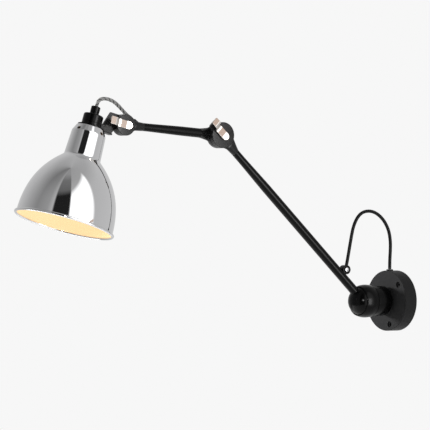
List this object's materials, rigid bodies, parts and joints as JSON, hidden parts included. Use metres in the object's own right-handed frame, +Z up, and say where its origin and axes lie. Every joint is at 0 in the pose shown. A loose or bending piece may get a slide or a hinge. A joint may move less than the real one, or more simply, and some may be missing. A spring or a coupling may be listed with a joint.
{
  "type": "articulating wall lamp",
  "caption": "Wall lamp with a ball-jointed long arm, a clamped elbow, a shorter arm and a tilting bell-shaped mirror-metal shade.",
  "frame": {"origin": "centre of the wall base's back, on the wall", "axes": "+Y into the wall, -Y into the room, +Z up"},
  "size_m": [0.1912, 0.7218, 0.3797],
  "materials": {
    "satin_black": "satin",
    "black_plastic": "matt",
    "nickel": "polished",
    "steel": "plain",
    "chrome": "mirror",
    "black_cord": "matt",
    "woven_cord": "woven",
    "ceramic": "glazed",
    "opal_glass": "opal"
  },
  "bodies": {
    "base": {"wall_base": "satin_black", "base_gland": "black_plastic", "terminal_block": "ceramic", "cord_saddle": "black_plastic", "swivel_post": "steel", "swivel_nut": "steel", "wall_cord": "black_cord"},
    "barrel": {"socket_barrel": "satin_black", "socket_ring": "satin_black", "spring_seat": "steel", "disc_spring_rear": "steel", "disc_spring_front": "steel", "friction_cup": "black_plastic", "barrel_set_screw": "nickel"},
    "ball": {"pivot_ball": "satin_black"},
    "lower_arm": {"arm_stem": "satin_black", "stem_nut": "steel", "lower_arm_tube": "satin_black", "arm_cord_gland": "black_plastic", "elbow_near_half": "satin_black", "elbow_friction_disc": "black_plastic", "elbow_bolt": "nickel"},
    "elbow_clamp": {"elbow_lever": "nickel"},
    "upper_arm": {"elbow_far_half": "satin_black", "elbow_washer": "steel", "upper_arm_tube": "satin_black", "head_near_half": "satin_black", "head_friction_disc": "black_plastic", "head_bolt": "nickel", "upper_arm_gland": "black_plastic", "head_cord": "woven_cord"},
    "head_clamp": {"head_lever": "nickel"},
    "head": {"head_bracket": "satin_black", "head_washer": "steel", "holder_cover": "black_plastic", "cord_grip": "black_plastic", "holder_insulator": "ceramic", "holder_shell": "black_plastic", "shade_ring_nut": "black_plastic", "lamp_shade": "chrome", "bulb_cap": "nickel", "bulb_glass": "opal_glass"}
  },
  "joints": [
    {"name": "barrel_swivel", "type": "hinge", "parent": "base", "child": "barrel", "pos_m": [0, 0, 0], "axis": [0, -1, 0], "range_deg": [-150, 150], "deforming": ["wall_cord"]},
    {"name": "ball_tilt", "type": "hinge", "parent": "barrel", "child": "ball", "pos_m": [0, -0.074, 0], "axis": [0.9942, 0, 0.1076], "range_deg": [-2, 90], "deforming": ["wall_cord"]},
    {"name": "arm_roll", "type": "hinge", "parent": "ball", "child": "lower_arm", "pos_m": [0, -0.074, 0], "axis": [-0.0752, -0.7154, 0.6947], "range_deg": [-120, 120], "deforming": ["wall_cord"]},
    {"name": "elbow", "type": "hinge", "parent": "lower_arm", "child": "upper_arm", "pos_m": [-0.02933, -0.35301, 0.27092], "axis": [-0.9945, 0.1045, 0], "range_deg": [-80, 110]},
    {"name": "elbow_clamp_turn", "type": "hinge", "parent": "lower_arm", "child": "elbow_clamp", "pos_m": [-0.02933, -0.35301, 0.27092], "axis": [0.9945, -0.1045, 0], "range_deg": [0, 90]},
    {"name": "head_tilt", "type": "hinge", "parent": "upper_arm", "child": "head", "pos_m": [-0.04845, -0.53494, 0.28531], "axis": [0.9945, -0.1045, 0], "range_deg": [-75, 60], "deforming": ["head_cord"]},
    {"name": "head_clamp_turn", "type": "hinge", "parent": "upper_arm", "child": "head_clamp", "pos_m": [-0.04845, -0.53494, 0.28531], "axis": [0.9945, -0.1045, 0], "range_deg": [0, 90]}
  ]
}
